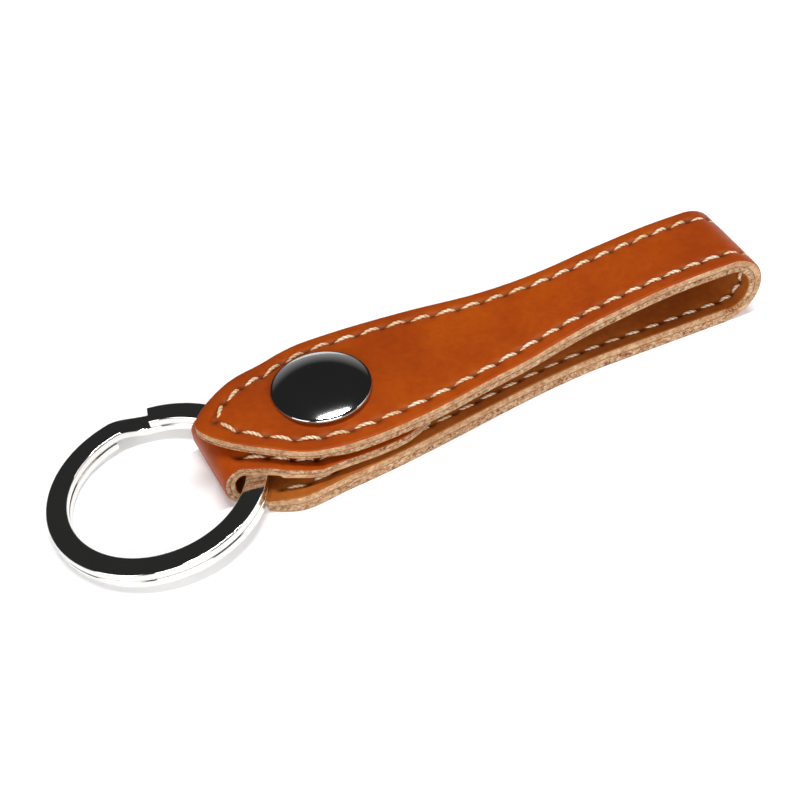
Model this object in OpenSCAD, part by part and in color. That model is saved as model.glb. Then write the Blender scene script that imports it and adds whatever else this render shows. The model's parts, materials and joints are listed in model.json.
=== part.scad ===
// Key fob: a two-ply leather strap folded into a belt loop, closed by a ring-spring snap,
// with a split key ring held in the fold.
// Frame: the snap's axis is X = 0, Y = 0. The underside of the strap lies on Z = 0.
// +X runs along the strap towards the loop end, +Z is up. Millimetres.

/* [Strap] */
// Height of the loop end over its outer faces
loop_h = 11.75; // [11:0.25:13]
// X of the loop end's centre of curvature
loop_x = 63.3; // [60:0.5:70]
// Half width of the strap at the loop end
loop_half = 7.05; // [6.5:0.05:7.5]
// Half width of the tongue beside the snap
tongue_half = 11.5; // [11:0.1:12]
// Half width of the lower run at its widest
lower_half = 12.5; // [12.2:0.1:13]
// Thickness of the outer leather
outer_t = 1.25; // [1.1:0.05:1.3]
// Thickness of the lining leather
lining_t = 1.15; // [1.0:0.05:1.2]
// Thickness of each ply where it is skived thin, in the fold and the tab
skived_t = 0.85; // [0.8:0.05:0.85]
// Sideways drift of the strap's centre line at its ring end
drift = 0.8; // [0:0.1:1]

/* [Snap] */
// Outer radius of the cap
cap_r = 7.4; // [6.8:0.1:7.6]
// Radius of the knob on the stud, at its bulge
knob_r = 3.3; // [3.1:0.05:3.3]
// Outer radius of the post's flange
post_flange_r = 4.8; // [4.2:0.1:5]

/* [Key ring] */
// Outer radius of the split ring
ring_r = 16; // [15.8:0.1:16]
// Width of the flat wire, measured along the ring's radius
wire_w = 3.14; // [2.9:0.02:3.16]
// Thickness of the flat wire; two turns lie on each other
wire_t = 1.36; // [1.2:0.02:1.36]

/* [Seam] */
// Distance of the seam from the edge of the leather
inset = 2.3; // [2.1:0.1:2.8]
// Distance from one stitch hole to the next
pitch = 3.6; // [3.4:0.1:4]
// Length of thread that shows between two holes
stitch = 3; // [2.6:0.1:3.2]
// Width of the thread
thread_w = 0.7; // [0.5:0.05:0.8]

/* [Hidden] */
$fn = 96;
strap_t = outer_t + lining_t;
fold_t = 2 * skived_t;
top_z = 20;             // above everything, for cutting prisms

// Upper run: its underside lies at these heights
snap_z = 5.6;           // beside the snap
bulge_z = 7.3;          // over the folded tab and the ring
loop_z = loop_h - strap_t;
bulge_x = -9.8;         // the bulge ends here
flat_x = -6.4;          // the strap is level again from here
rise_x = 19.6;          // the upper run starts to rise towards the loop end
rise_end = loop_x - 3.7;
tip_lift = 0.12;        // rise of the tongue's tip per millimetre
tip = [-18.9, 0];
tip_ctrl = [[-19, 3], [-8.9, tongue_half]];
base = [2.1, tongue_half];

// Lower run, neck and fold
shoulder_x = -13.1;
wide_x = -6.4;
shoulder_drop = 2.3;
neck_y = -1.25;
neck_half = 6.5;
fold_x = -15.6;         // centre of the fold's corners
fold_r = 2.9;           // outer radius of the fold's corners
fold_h = 7.2;
thin_end = -11.4;       // the skived plies come up to full thickness here, from the fold

// Tab: the folded-back end of the strap
tab_z = strap_t + 0.05;
tab_rise = fold_h - fold_t - tab_z;
tab_flat_x = -5.1;
tab_end = 13;
tab_taper_x = 3;        // the tab narrows from here to its end
tab_taper = 3.2;

loop_c = [loop_x, 0, loop_h / 2];
ring_c = [-26.2, -2.5, 1.36];
ring_tilt = [-0.9, -4.7, 0];
split_at = 80;          // direction of the cross-over, seen from above
split_gap = 22;         // degrees of the ring that the cross-over takes
coil_gap = 0.04;        // the two turns just miss each other
ramp_trim = 0.02;

leather_out = [0.70, 0.30, 0.07];
leather_in = [0.62, 0.27, 0.08];
thread_c = [0.92, 0.84, 0.68];
nickel = [0.72, 0.72, 0.74];

function clamp01(t) = min(1, max(0, t));
function smooth(t) = let (c = clamp01(t)) c * c * (3 - 2 * c);
function mix(a, b, t) = a + (b - a) * t;

// Heights along the strap
function upper_under(x) = mix(bulge_z, snap_z, smooth((x - bulge_x) / (flat_x - bulge_x)))
    + (loop_z - snap_z) * smooth((x - rise_x) / (rise_end - rise_x))
    + tip_lift * max(0, bulge_x - 1.6 - x);
function tab_under(x) = tab_z + tab_rise * (1 - smooth((x - bulge_x) / (tab_flat_x - bulge_x)));
function thick_share(x) = smooth((x - fold_x) / (thin_end - fold_x));

// Widths along the strap
function centre_y(x) = -drift * smooth(-x / 10);
function tongue_w(x) = mix(tongue_half, loop_half, smooth((x - 3.6) / 40));
function lower_w(x) = x < wide_x
    ? lower_half - shoulder_drop * pow((wide_x - x) / (wide_x - shoulder_x), 2)
    : mix(lower_half, loop_half, smooth((x - wide_x) / 50));
function tab_share(x) = sin(90 * clamp01((x - fold_x) / 13));
function tab_w(x) = mix(neck_half, tongue_half, tab_share(x))
    - tab_taper * pow(clamp01((x - tab_taper_x) / (tab_end - tab_taper_x)), 2);
function tab_c(x) = neck_y * (1 - clamp01((x - fold_x) / 13));

// The tongue's pointed end: one cubic curve from tip to base, and its inward normal
function bez(a, b, c, d, t) = a * pow(1 - t, 3) + 3 * b * t * pow(1 - t, 2)
    + 3 * c * t * t * (1 - t) + d * pow(t, 3);
function bez_d(a, b, c, d, t) = (b - a) * pow(1 - t, 2) + 2 * (c - b) * t * (1 - t) + (d - c) * t * t;
function tip_at(t) = bez(tip, tip_ctrl[0], tip_ctrl[1], base, t);
function tip_dir(t) = bez_d(tip, tip_ctrl[0], tip_ctrl[1], base, t);
function tip_in(t, e) = let (d = tip_dir(t)) tip_at(t) + e * [d[1], -d[0]] / norm(d);
function drifted(p, side) = [p[0], side * p[1] + centre_y(p[0])];

// Points from a to b, n steps
function steps(a, b, n) = [for (i = [0:n]) mix(a, b, i / n)];
function reversed(v) = [for (i = [len(v) - 1:-1:0]) v[i]];

// A plan outline, extruded through the whole height
module plan(points) {
    translate([0, 0, -1]) linear_extrude(top_z) polygon(points);
}

// A side profile given as [x, z] points, extruded from y0 to y1
module side(points, y0 = -20, y1 = 20) {
    translate([0, y1, 0]) rotate([90, 0, 0]) linear_extrude(y1 - y0) polygon(points);
}

module tongue_plan() {
    run = [for (x = steps(loop_x, base[0], 12)) [x, tongue_w(x)]];
    nose = [for (t = steps(0.94, 0.04, 15)) tip_at(t)];
    half = concat(run, nose);
    far = [for (p = half) drifted(p, 1)];
    near = [for (p = reversed(half)) drifted(p, -1)];
    plan(concat(far, [drifted(tip, 1)], near));
}

module lower_plan() {
    xs = concat(steps(loop_x, wide_x, 14), steps(wide_x - 1.3, shoulder_x, 4));
    far = [for (x = xs) [x, lower_w(x) + centre_y(x)]];
    near = [for (x = reversed(xs)) [x, -lower_w(x) + centre_y(x)]];
    plan(concat(far, near));
}

module tab_plan() {
    xs = steps(fold_x, tab_end, 22);
    far = [for (x = xs) [x, tab_c(x) + tab_w(x)]];
    near = [for (x = reversed(xs)) [x, tab_c(x) - tab_w(x)]];
    plan(concat(far, near));
}

// Heights of the lower run's faces: 0 the outer face, 1 between the plies, 2 the lining's face
function lower_face(k, x) = k * mix(skived_t, k == 1 ? outer_t : strap_t / 2, thick_share(x));

// The band of the folded neck between two of its faces
module fold_band(k0, k1) {
    function arc(d, z, a0, a1) = let (r = fold_r - d)
        [for (a = steps(a0, a1, 6)) [fold_x + r * cos(a), z + r * sin(a)]];
    function u(k) = let (d = k * skived_t) concat([for (x = neck_xs) [x, lower_face(k, x)]],
        arc(d, fold_r, 270, 180), arc(d, fold_h - fold_r, 180, 90), [[fold_x + 0.1, fold_h - d]]);
    side(concat(u(k0), reversed(u(k1))), neck_y - neck_half, neck_y + neck_half);
}

// One ply of the upper run, between two depths over its underside
module upper_ply(d0, d1) {
    xs = concat(steps(-19, -12, 3), steps(-11.4, -10, 2), steps(bulge_x, flat_x, 6), [rise_x],
        steps(rise_x + 3, rise_end, 12), [loop_x]);
    difference() {
        intersection() {
            tongue_plan();
            side(concat([for (x = xs) [x, upper_under(x) + d0]],
                [for (x = reversed(xs)) [x, upper_under(x) + d1]]));
        }
        cylinder(r = socket_r + 0.05, h = top_z);
    }
}

module upper_outer_leather() {
    color(leather_out) upper_ply(lining_t, strap_t);
}

module upper_lining_leather() {
    color(leather_in) upper_ply(0, lining_t);
}

// Half turn of the loop end between two radii
module loop_turn(r0, r1) {
    translate(loop_c) rotate([90, 0, 0]) rotate_extrude(angle = 180, start = -90)
        translate([r0, -loop_half]) square([r1 - r0, 2 * loop_half]);
}

module bend_outer_leather() {
    color(leather_out) loop_turn(loop_h / 2 - outer_t, loop_h / 2);
}

module bend_lining_leather() {
    color(leather_in) loop_turn(loop_h / 2 - strap_t, loop_h / 2 - outer_t);
}

thin_xs = steps(thin_end, fold_x, 5);
lower_xs = concat([loop_x], thin_xs);
neck_xs = [for (i = [2:4]) thin_xs[i]];
tab_xs = concat([fold_x], steps(bulge_x, tab_flat_x, 8), [tab_end]);

module lower_outer_leather() {
    color(leather_out) difference() {
        union() {
            intersection() {
                lower_plan();
                side(concat([[fold_x, 0], [loop_x, 0]], [for (x = lower_xs) [x, lower_face(1, x)]]));
            }
            fold_band(0, 1);
            intersection() {
                tab_plan();
                side(concat([for (x = tab_xs) [x, tab_under(x) + skived_t]],
                    [for (x = reversed(tab_xs)) [x, tab_under(x) + fold_t]]));
            }
        }
        translate([0, 0, -1]) cylinder(r = post_r + 0.05, h = top_z);
        translate([0, 0, -1]) cylinder(r = post_flange_r + 0.05, h = 1.5);
    }
}

module lower_lining_leather() {
    color(leather_in) difference() {
        union() {
            intersection() {
                lower_plan();
                side(concat([for (x = reversed(lower_xs)) [x, lower_face(1, x)]],
                    [for (x = lower_xs) [x, lower_face(2, x)]]));
            }
            fold_band(1, 2);
            intersection() {
                tab_plan();
                side(concat([for (x = tab_xs) [x, tab_under(x)]],
                    [for (x = reversed(tab_xs)) [x, tab_under(x) + skived_t]]));
            }
        }
        cylinder(r = post_r + 0.05, h = top_z);
    }
}

// Seams. Each stitch is a short bar between two holes, let into the leather.
thread_d = 0.45;        // depth of a stitch
proud = 0.1;            // how far it stands out where there is room
sunk = 0.2;             // how deep it lies where leather bears on it

// A stitch from p to q on a face that looks up (up = 1) or down (up = -1)
module stitch_bar(p, q, up, out) {
    d = q - p;
    run = norm([d[0], d[1]]);
    low = up > 0 ? out - thread_d : -out;
    translate(p) rotate([0, -atan2(d[2], run), atan2(d[1], d[0])])
        translate([0, -thread_w / 2, low]) cube([norm(d) * stitch / pitch, thread_w, thread_d]);
}

// A stitch for each gap between neighbouring points
module seam(points, up, out) {
    for (i = [0:len(points) - 2]) stitch_bar(points[i], points[i + 1], up, out);
}

function run_xs(a, b) = steps(a, b, round(abs(b - a) / pitch));
nose_n = 6;
nose_ts = [for (i = [0:nose_n]) pow(i / nose_n, 0.75)];
nose_xs = run_xs(base[0], loop_x - 0.6);
upper_seam = concat([for (t = nose_ts) tip_in(t, inset)],
    [for (i = [1:len(nose_xs) - 1]) [nose_xs[i], tongue_w(nose_xs[i]) - inset]]);

// The tongue's seam on one side, at a depth over the underside
function upper_line(side, depth) = [for (p = upper_seam)
    let (q = drifted(p, side)) [q[0], q[1], upper_under(q[0]) + depth]];

module upper_outer_thread() {
    color(thread_c) for (s = [-1, 1]) seam(upper_line(s, strap_t), 1, proud);
}

module upper_lining_thread() {
    color(thread_c) for (s = [-1, 1]) seam(upper_line(s, 0), -1, -sunk);
}

// Stitches round the loop end at radius r
module turn_seam(r) {
    n = 5;
    for (i = [0:n - 1], s = [-1, 1]) translate(loop_c) rotate([90, 0, 0])
        rotate_extrude(angle = 180 / n * stitch / pitch, start = -90 + 180 / n * (i + 0.1))
            translate([r, s * (loop_half - inset) - thread_w / 2]) square([thread_d, thread_w]);
}

module bend_outer_thread() {
    color(thread_c) turn_seam(loop_h / 2 - thread_d + proud);
}

module bend_lining_thread() {
    color(thread_c) turn_seam(loop_h / 2 - strap_t - proud);
}

// The lower run's seam follows its edge, and turns in along the shoulder
lower_seam_xs = run_xs(shoulder_x + inset, loop_x - 0.6);
function lower_line(side, z) = [for (x = lower_seam_xs) [x, side * (lower_w(x) - inset) + centre_y(x), z]];

module lower_outer_thread() {
    color(thread_c) for (s = [-1, 1]) seam(lower_line(s, 0), -1, 0);
}

// Where the tab lies on the lower run, its stitches are flush with the leather
module lower_lining_thread() {
    open_from = tab_end + pitch;
    color(thread_c) for (s = [-1, 1]) {
        line = [for (p = lower_line(s, 0)) [p[0], p[1], lower_face(2, p[0])]];
        seam([for (p = line) if (p[0] <= open_from) p], 1, 0);
        seam([for (p = line) if (p[0] > open_from - pitch) p], 1, proud);
    }
}

// The tab's seam runs along its edge and round its end
tab_seam_xs = run_xs(fold_x + 0.6, tab_end - inset);
function tab_line(side) = [for (x = tab_seam_xs)
    [x, tab_c(x) + side * (tab_w(x) - inset), tab_under(x) + fold_t]];
tab_end_w = tab_w(tab_end - inset) - inset;
tab_end_ys = run_xs(-tab_end_w, tab_end_w);

module tab_thread() {
    color(thread_c) {
        for (s = [-1, 1]) seam(tab_line(s), 1, 0);
        seam([for (y = tab_end_ys) [tab_end - inset, y, tab_z + fold_t]], 1, 0);
    }
}

// Snap: cap and socket on the tongue, stud and post on the lower run
post_r = 1.85;
post_bore = 1.3;
post_flange_t = 0.5;
stud_z = tab_z + fold_t;
stud_flange_r = 5;
stud_t = 0.45;
knob_top = 7.1;
lip_r = 2.3;
lip_t = 0.25;
neck_r = knob_r - 0.55;
socket_r = 4.4;
socket_wall = 0.4;
socket_low = snap_z - 0.45;
socket_top = snap_z + strap_t;
socket_roof = 0.4;
socket_flange_r = 6.2;
socket_mouth_r = knob_r + 0.2;
rivet_r = 2.15;
clinch_r = 2.9;
clinch_t = 0.12;
rivet_bore = 1.5;
dome_h = 1.3;           // the cap's dome over its rim
dome_a = 72;            // half angle of the dome's arc
spring_r = 0.3;

module snap_cap() {
    z = socket_top;
    color(nickel) rotate_extrude() polygon(concat(
        [[0, z + 1.2 + dome_h]],
        [for (a = steps(8, dome_a, 8))
            [cap_r * 0.965 * sin(a) / sin(dome_a),
            z + 1.2 + dome_h * (cos(a) - cos(dome_a)) / (1 - cos(dome_a))]],
        [[cap_r, z + 0.95], [cap_r - 0.1, z + 0.6], [cap_r - 0.75, z + 0.05], [cap_r - 1.3, z]],
        [[cap_r - 1.3, z + 0.35], [cap_r - 0.9, z + 0.9], [cap_r - 1.6, z + 1.4], [rivet_r, z + 1.9]],
        [[rivet_r, z - socket_roof], [clinch_r, z - socket_roof], [clinch_r, z - socket_roof - clinch_t]],
        [[rivet_bore, z - socket_roof - clinch_t], [rivet_bore, z + 1.5], [0, z + 1.7]]));
}

module snap_socket() {
    color(nickel) rotate_extrude() polygon([
        [rivet_r, socket_top], [socket_r, socket_top], [socket_r, snap_z], [socket_flange_r, snap_z],
        [socket_flange_r, socket_low], [socket_mouth_r, socket_low], [socket_mouth_r, socket_low + 0.15],
        [socket_r - socket_wall, socket_low + 0.15], [socket_r - socket_wall, socket_top - socket_roof],
        [rivet_r, socket_top - socket_roof]]);
}

module socket_spring() {
    r = socket_r - socket_wall - spring_r - 0.02;
    color(nickel) translate([0, 0, socket_low + 0.5]) rotate_extrude(angle = 310, start = 25)
        translate([r - 0.2, 0]) circle(r = spring_r);
}

module snap_stud() {
    color(nickel) rotate_extrude() polygon([
        [post_r + 0.05, stud_z], [stud_flange_r - 0.2, stud_z], [stud_flange_r, stud_z + 0.2],
        [stud_flange_r - 0.2, stud_z + stud_t], [neck_r, stud_z + stud_t], [neck_r, stud_z + 1.5],
        [knob_r - 0.08, stud_z + 2], [knob_r, stud_z + 2.2], [knob_r - 0.05, knob_top - 0.4],
        [knob_r - 0.4, knob_top], [post_r + 0.05, knob_top]]);
}

module snap_post() {
    color(nickel) rotate_extrude() polygon([
        [0, 0], [post_flange_r - 0.2, 0], [post_flange_r, 0.2], [post_flange_r, post_flange_t],
        [post_r, post_flange_t], [post_r, knob_top], [lip_r, knob_top], [lip_r, knob_top + lip_t], [post_bore, knob_top + lip_t],
        [post_bore, 1], [0, 1]]);
}

// Split ring: two turns of flat wire, joined by a cross-over
module wire_section() {
    e = 0.3;            // worn edge of the wire
    w = wire_w;
    t = wire_t;
    f = 0.08;
    translate([ring_r - w, 0]) polygon([[e, 0], [w - e, 0], [w - f, f], [w, e], [w, t - e], [w - f, t - f],
        [w - e, t], [e, t], [f, t - f], [0, t - e], [0, e], [f, f]]);
}

// The cross-over is a hair thinner than the turns, so that its ends lie inside them
module wire_slice(a, z) {
    rotate([90, 0, a]) translate([0, z, 0]) linear_extrude(0.1) offset(delta = -ramp_trim) wire_section();
}

module key_ring() {
    n = 4;
    lift = wire_t + coil_gap;
    turn = 359 - split_gap;
    color(nickel) translate(ring_c) rotate(ring_tilt) rotate([0, 0, split_at]) {
        rotate_extrude(angle = turn, start = split_gap + 1) wire_section();
        translate([0, 0, lift]) rotate_extrude(angle = turn, start = split_gap) wire_section();
        for (i = [0:n - 1]) hull() {
            wire_slice(mix(-0.6, split_gap + 0.8, i / n), lift * smooth(i / n));
            wire_slice(mix(-0.6, split_gap + 0.8, (i + 1) / n), lift * smooth((i + 1) / n));
        }
    }
}

upper_outer_leather();
upper_lining_leather();
bend_outer_leather();
bend_lining_leather();
lower_outer_leather();
lower_lining_leather();
upper_outer_thread();
upper_lining_thread();
bend_outer_thread();
bend_lining_thread();
lower_outer_thread();
lower_lining_thread();
tab_thread();
snap_cap();
snap_socket();
socket_spring();
snap_stud();
snap_post();
key_ring();
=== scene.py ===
import json
import math

import bmesh
import bpy
import numpy as np
from mathutils import Matrix, Vector


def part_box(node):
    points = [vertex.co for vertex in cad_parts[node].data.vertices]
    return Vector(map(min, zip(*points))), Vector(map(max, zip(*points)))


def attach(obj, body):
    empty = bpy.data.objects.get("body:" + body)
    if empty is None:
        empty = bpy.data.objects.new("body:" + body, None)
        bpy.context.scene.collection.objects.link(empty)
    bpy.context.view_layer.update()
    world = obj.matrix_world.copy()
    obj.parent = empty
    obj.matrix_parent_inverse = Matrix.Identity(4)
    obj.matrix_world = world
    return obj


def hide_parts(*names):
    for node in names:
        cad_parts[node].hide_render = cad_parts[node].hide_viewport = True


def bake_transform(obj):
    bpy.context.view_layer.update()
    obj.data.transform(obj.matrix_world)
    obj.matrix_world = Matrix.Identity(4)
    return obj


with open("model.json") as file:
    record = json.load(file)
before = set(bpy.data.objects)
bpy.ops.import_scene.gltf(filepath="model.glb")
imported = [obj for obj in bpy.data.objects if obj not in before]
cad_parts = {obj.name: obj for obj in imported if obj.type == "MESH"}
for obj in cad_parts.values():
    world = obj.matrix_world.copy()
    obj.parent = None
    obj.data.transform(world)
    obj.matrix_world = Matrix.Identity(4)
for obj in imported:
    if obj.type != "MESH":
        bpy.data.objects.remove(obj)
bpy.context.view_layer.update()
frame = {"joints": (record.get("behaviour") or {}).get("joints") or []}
MM = 0.001


def box_mm(node):
    low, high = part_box(node)
    return np.array(low) / MM, np.array(high) / MM


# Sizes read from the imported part, in millimetres
loop_low, loop_high = box_mm("bend_outer_leather")
LOOP_X, LOOP_H, LOOP_HALF = loop_low[0], loop_high[2], loop_high[1]
LOOP_CZ = LOOP_H / 2  # height of the loop end's centre of curvature, and its outer radius
TIP_X = box_mm("upper_outer_leather")[0][0]

# Leather, in millimetres
OUTER_T = 1.25
LINING_T = 1.15
STRAP_T = OUTER_T + LINING_T
SKIVED_T = 0.85  # one ply in the fold and the tab
FOLD_T = 2 * SKIVED_T
TONGUE_HALF = 11.5
DRIFT = 0.8  # ahead of the snap, the middle line of both runs bends this far to the near side
TIP = np.array([TIP_X, 0.0])
TIP_CTRL = (np.array([-19.0, 3.0]), np.array([-8.9, TONGUE_HALF]))  # shape the nose's curve
BASE = np.array([2.1, TONGUE_HALF])  # where the rounded nose ends
NOSE_Z, SNAP_Z = 7.3, 5.6  # the tongue's underside over the fold and at the snap
LOWER_HALF = 12.5
WIDE_X = -6.4  # the lower run is widest here
SHOULDER_X = -13.1
SHOULDER_CUT = 2.3  # it loses this much on each side down to its shoulders
NECK_Y = -1.25
NECK_HALF = 6.5
FOLD_X = -15.6  # centre of the fold's arcs
FOLD_R = 2.9
FOLD_H = 7.2
TAB_Z = STRAP_T + 0.05
TAB_END = 13.0
TAB_TAPER_X, TAB_TAPER = 3.0, 3.2

# Seams, in millimetres
INSET = 2.3
PITCH_SNAP, PITCH_LOOP = 4.0, 3.25  # the stitches shorten towards the loop end
TAB_PITCH = 3.8
HOLE_R = 0.5
THREAD_R = 0.28
STRANDS = 2

SOCKET_HOLE_R = 4.55  # the hole through the tongue, round the socket
RNG = np.random.default_rng(7)


def smooth(t):
    c = np.clip(t, 0, 1)
    return c * c * (3 - 2 * c)


def mix(a, b, t):
    return a + (b - a) * t


def rise(x, start, length):
    """0 up to start, 1 from start + length on, and smooth in between."""
    return smooth((x - start) / length)


def bell(x, middle, width):
    return np.exp(-((x - middle) / width) ** 2)


def centre_y(x):
    return -DRIFT * rise(-x, 0, 10)


def tongue_w(x):
    """Half the tongue's width behind its nose."""
    return mix(TONGUE_HALF, LOOP_HALF, rise(x, 3.6, 40))


def lower_w(x):
    """Half the lower run's width, from its shoulders to the loop end."""
    left = LOWER_HALF - SHOULDER_CUT * (np.clip(WIDE_X - x, 0, None) / (WIDE_X - SHOULDER_X)) ** 2
    return np.where(x < WIDE_X, left, mix(LOWER_HALF, LOOP_HALF, rise(x, WIDE_X, 50)))


def upper_under(x):
    """Height of the tongue's underside: over the fold, down to the snap, up to the loop end."""
    over_fold = mix(NOSE_Z, SNAP_Z, rise(x, -12.5, 8.5))
    to_loop = (LOOP_H - STRAP_T - SNAP_Z) * rise(x, 19.6, 40)
    tip_lift = 0.12 * np.clip(-11.4 - x, 0, None)
    return over_fold + to_loop + tip_lift


def thick_share(x):
    """1 where the lower run has its full thickness, 0 where it is skived for the fold."""
    return rise(x, FOLD_X, 4.2)


# ---------------------------------------------------------------- mesh helpers

def new_object(name, verts, faces, mats, face_mats=None, attrs=None, sharp=None):
    """A mesh piece from vertices in millimetres."""
    mesh = bpy.data.meshes.new(name)
    mesh.from_pydata([tuple(v * MM) for v in verts], [], faces)
    for m in mats:
        mesh.materials.append(m)
    if face_mats is not None:
        mesh.polygons.foreach_set("material_index", np.array(face_mats, np.int32))
    for key, values in (attrs or {}).items():
        mesh.attributes.new(key, "FLOAT", "POINT").data.foreach_set("value", np.array(values, np.float32))
    bm = bmesh.new()
    bm.from_mesh(mesh)
    bmesh.ops.remove_doubles(bm, verts=bm.verts, dist=1e-6)
    bmesh.ops.dissolve_degenerate(bm, edges=bm.edges, dist=1e-7)
    bmesh.ops.recalc_face_normals(bm, faces=bm.faces)
    for f in bm.faces:
        f.smooth = True
    if sharp is not None:
        for e in bm.edges:
            if len(e.link_faces) == 2 and e.calc_face_angle(0) > math.radians(sharp):
                e.smooth = False
    bm.to_mesh(mesh)
    bm.free()
    obj = bpy.data.objects.new(name, mesh)
    bpy.context.scene.collection.objects.link(obj)
    return obj


def tube_faces(rows, cols, closed_rows=False, caps=True):
    """Quads between rings of cols points; ring i is vertices i*cols to i*cols+cols-1."""
    faces = []
    for i in range(rows if closed_rows else rows - 1):
        a, b = i * cols, ((i + 1) % rows) * cols
        for j in range(cols):
            k = (j + 1) % cols
            faces.append((a + j, a + k, b + k, b + j))
    if caps and not closed_rows:
        faces.append(tuple(range(cols)))
        faces.append(tuple((rows - 1) * cols + j for j in range(cols)))
    return faces


# Distances from a ply's edge at which its mesh has points, before they are fitted to the spoke
LEVELS = np.array([
    0, 0.04, 0.1, 0.2, 0.36, 0.58, 0.85, 1.15, 1.5, 1.75, 1.95, 2.12, 2.3, 2.48, 2.65, 2.9, 3.3, 4.0])
INNER = 6  # steps from the last of them to the middle line
COLS = 2 * (len(LEVELS) + INNER) - 1


def level_distances(length):
    """Distances from the edge along a spoke of that length, finest near the edge and the seam."""
    near = LEVELS * min(1.0, 0.8 * length / LEVELS[-1])
    return np.concatenate([near, near[-1] + (length - near[-1]) * np.arange(1, INNER + 1) / INNER])


def spoke_row(near_edge, centre, far_edge):
    """Plan points across the strap, from the near edge over the centre to the far edge."""
    out = []
    for edge, flip in ((near_edge, False), (far_edge, True)):
        length = np.linalg.norm(centre - edge)
        d = level_distances(max(length, 1e-6)) / max(length, 1e-6)
        pts = edge + (centre - edge) * d[:, None]
        out.append(pts[::-1][1:] if flip else pts)
    return np.concatenate(out)


def edge_distance(points, outline):
    """Distance from each plan point to the outline, a dense polyline."""
    a, b = outline[:-1], outline[1:]
    ab = b - a
    best = np.full(len(points), 1e9)
    for k in range(0, len(points), 400):
        p = points[k:k + 400, None, :]
        t = np.clip(((p - a) * ab).sum(2) / np.maximum((ab * ab).sum(1), 1e-12), 0, 1)
        d = np.linalg.norm(p - a - ab * t[..., None], axis=2).min(1)
        best[k:k + 400] = d
    return best


# Looks of the plies' faces and cut edges, in millimetres unless a comment says otherwise
GROOVE_SHADE, GROOVE_WIDTH = 0.42, 0.26  # the first is how dark the painted shade in the groove is
# width of the darkening beside the cut edges, which on the tongue and loop includes painted shade on the
# far side
EDGE_DARK_WIDTH = 0.4
FACE_ROUND, BACK_ROUND, GLUE_ROUND = 0.24, 0.22, 0.06  # radii at the face, the back and between the plies
UPPER_SINK = 0.06
LOWER_FACE_ROUND, LOWER_GLUE_ROUND, LOWER_SINK = 0.15, 0.05, 0.08
SEAM_DIP, HOLE_DIP = 0.13, 0.34
BACK_DIP = 0.8  # share of those on the back
DOME_RISE, DOME_FALL = 0.22, 0.26  # the tongue's middle stands up, and its edges are lower by the second
NOSE_CURL, WAIST_CURL = 0.36, 0.4  # its edges stand up again at the nose and behind the tab
WAVE = 0.06
WALL = 3  # points down a cut edge, between its corners
WALL_BULGE, WALL_ROUGH = 0.05, 0.018
LEATHER_SHARP = 52  # degrees


def groove_and_hole_shade(d, hole):
    """Painted shade in the seam's groove and holes: how dark each point is painted."""
    return np.maximum(hole, GROOVE_SHADE * bell(d, INSET, GROOVE_WIDTH))


def near_holes(points, holes, radius):
    """Strength 0 to 1 of the dimple that stitch holes leave at each point."""
    out = np.zeros(len(points))
    for h in holes:
        r2 = ((points - h) ** 2).sum(1)
        near = r2 < (4 * radius) ** 2
        out[near] = np.maximum(out[near], np.exp(-r2[near] / radius ** 2))
    return out


def round_edge(d, radius):
    """How far a face drops at distance d from the edge it is rounded into."""
    t = np.clip(1 - d / radius, 0, 1)
    return radius * (1 - np.sqrt(1 - 0.96 * t * t))


def edge_sink(d, depth):
    """How far the pressed edge of a face lies lower than the rest."""
    return depth * np.exp(-d / 1.1)


def edge_stain_and_shade(d, far_side):
    """Darkness of a face beside its edge: edge darkening on both sides, and painted shade that makes it
    stronger on the far side.
    """
    return np.exp(-d / EDGE_DARK_WIDTH) * np.where(far_side, 1, 0.3)


# ---------------------------------------------------------------- leather plies

def bez(t):
    """The outline of the nose's far half."""
    t = np.asarray(t)[..., None]
    return (TIP * (1 - t) ** 3 + 3 * TIP_CTRL[0] * t * (1 - t) ** 2
            + 3 * TIP_CTRL[1] * t * t * (1 - t) + BASE * t ** 3)


def drifted(points, side):
    return np.stack([points[..., 0], side * points[..., 1] + centre_y(points[..., 0])], -1)


def resample(points, step):
    """The same polyline with even spacing."""
    s = np.concatenate([[0], np.cumsum(np.linalg.norm(np.diff(points, axis=0), axis=1))])
    at = np.linspace(0, s[-1], max(2, int(round(s[-1] / step)) + 1))
    return np.stack([np.interp(at, s, points[:, k]) for k in range(points.shape[1])], 1)


ROW_STEP = 0.5
END_CLUSTER = np.array([1.0, 0.7, 0.45, 0.28, 0.15, 0.06])  # distances of the finer rows before a crease
SPINE_START = 4.4  # the first spokes of the nose meet this far behind the tip

half_nose = resample(bez(np.linspace(0, 1, 400)), ROW_STEP)
nose_x = half_nose[:, 0]
run_x = np.concatenate([
    np.arange(BASE[0] + ROW_STEP, LOOP_X - 1.2, ROW_STEP), LOOP_X - END_CLUSTER, [LOOP_X]])
half_edge = np.concatenate([half_nose, np.stack([run_x, tongue_w(run_x)], 1)])
nose_share = np.clip((nose_x - TIP[0]) / (BASE[0] - TIP[0]), 0, 1)
spine_x = np.concatenate([mix(TIP[0] + SPINE_START, BASE[0], nose_share ** 1.3), run_x])


def crown(x, y):
    """The tongue is a little domed round the snap. Its edges sink there and curl up on either side."""
    across = np.clip((y - centre_y(x)) / tongue_w(x), -1, 1)
    here = rise(x, -17, 8) * (1 - rise(x, 14, 34))
    dome = (DOME_RISE - DOME_FALL * across ** 2) * here
    curl = (NOSE_CURL * (1 - rise(x, -5.5, 4.5)) + WAIST_CURL * bell(x, 21, 6)) * across ** 4
    wave = WAVE * np.sin(x * 0.31 + 1.0) * np.sin(x * 0.13 + y * 0.22)
    return dome + curl + wave * smooth((LOOP_X - 3 - x) / 8)


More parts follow.
